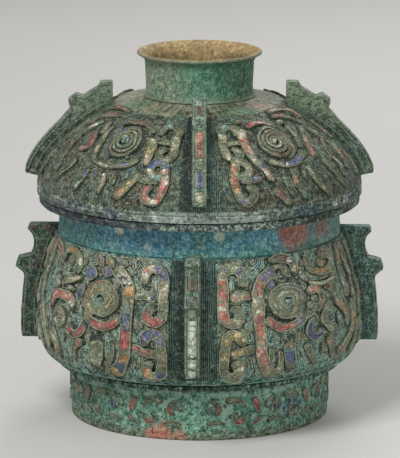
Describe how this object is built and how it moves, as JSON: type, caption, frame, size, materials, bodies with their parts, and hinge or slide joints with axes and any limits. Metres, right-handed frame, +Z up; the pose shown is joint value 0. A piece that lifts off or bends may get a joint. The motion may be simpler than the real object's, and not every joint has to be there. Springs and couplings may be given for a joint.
{
  "type": "lidded food vessel",
  "caption": "Round-bellied cast vessel on a ring foot, with a domed lid that drops into its mouth, a ring crown, hooked flanges and stones set in scrolls.",
  "frame": {"origin": "on the ground at the middle of the foot ring", "axes": "+Z up along the vessel's axis; the bowl's front flange faces -Y and its right flange +X"},
  "size_m": [0.261, 0.261, 0.26],
  "materials": {
    "bronze": "matt green patina over dark cast bronze",
    "flange_bronze": "bright malachite patina, matt",
    "scroll_mosaic": "worn polished stones of several colours",
    "garnet": "worn polish",
    "coral": "worn polish",
    "lapis": "worn polish",
    "shell": "worn polish",
    "jade": "worn polish"
  },
  "bodies": {
    "vessel": {"bowl": "bronze", "bowl_flange_back": "flange_bronze", "bowl_flange_back_garnet": "garnet", "bowl_flange_back_jade_end": "jade", "bowl_flange_back_jade_long": "jade", "bowl_flange_back_jade_short": "jade", "bowl_flange_front": "flange_bronze", "bowl_flange_front_garnet": "garnet", "bowl_flange_front_jade_end": "jade", "bowl_flange_front_jade_long": "jade", "bowl_flange_front_jade_short": "jade", "bowl_flange_left": "flange_bronze", "bowl_flange_left_garnet": "garnet", "bowl_flange_left_jade_end": "jade", "bowl_flange_left_jade_long": "jade", "bowl_flange_left_jade_short": "jade", "bowl_flange_right": "flange_bronze", "bowl_flange_right_garnet": "garnet", "bowl_flange_right_jade_end": "jade", "bowl_flange_right_jade_long": "jade", "bowl_flange_right_jade_short": "jade", "bowl_scroll_back_left_lower": "scroll_mosaic", "bowl_scroll_back_left_upper": "scroll_mosaic", "bowl_scroll_back_right_lower": "scroll_mosaic", "bowl_scroll_back_right_upper": "scroll_mosaic", "bowl_scroll_front_left_lower": "scroll_mosaic", "bowl_scroll_front_left_upper": "scroll_mosaic", "bowl_scroll_front_right_lower": "scroll_mosaic", "bowl_scroll_front_right_upper": "scroll_mosaic", "foot_ring": "bronze"},
    "cover": {"lid": "bronze", "lid_crown": "bronze", "lid_flange_back": "flange_bronze", "lid_flange_back_coral": "coral", "lid_flange_back_garnet": "garnet", "lid_flange_back_lapis": "lapis", "lid_flange_back_shell": "shell", "lid_flange_front": "flange_bronze", "lid_flange_front_coral": "coral", "lid_flange_front_garnet": "garnet", "lid_flange_front_lapis": "lapis", "lid_flange_front_shell": "shell", "lid_flange_left": "flange_bronze", "lid_flange_left_coral": "coral", "lid_flange_left_garnet": "garnet", "lid_flange_left_lapis": "lapis", "lid_flange_left_shell": "shell", "lid_flange_right": "flange_bronze", "lid_flange_right_coral": "coral", "lid_flange_right_garnet": "garnet", "lid_flange_right_lapis": "lapis", "lid_flange_right_shell": "shell", "lid_scroll_back_left_lower": "scroll_mosaic", "lid_scroll_back_left_upper": "scroll_mosaic", "lid_scroll_back_right_lower": "scroll_mosaic", "lid_scroll_back_right_upper": "scroll_mosaic", "lid_scroll_front_left_lower": "scroll_mosaic", "lid_scroll_front_left_upper": "scroll_mosaic", "lid_scroll_front_right_lower": "scroll_mosaic", "lid_scroll_front_right_upper": "scroll_mosaic"}
  },
  "joints": [
    {"name": "lid_lift", "type": "slide", "parent": "vessel", "child": "cover", "axis": [0, 0, 1], "range_m": [0, 0.12]}
  ]
}
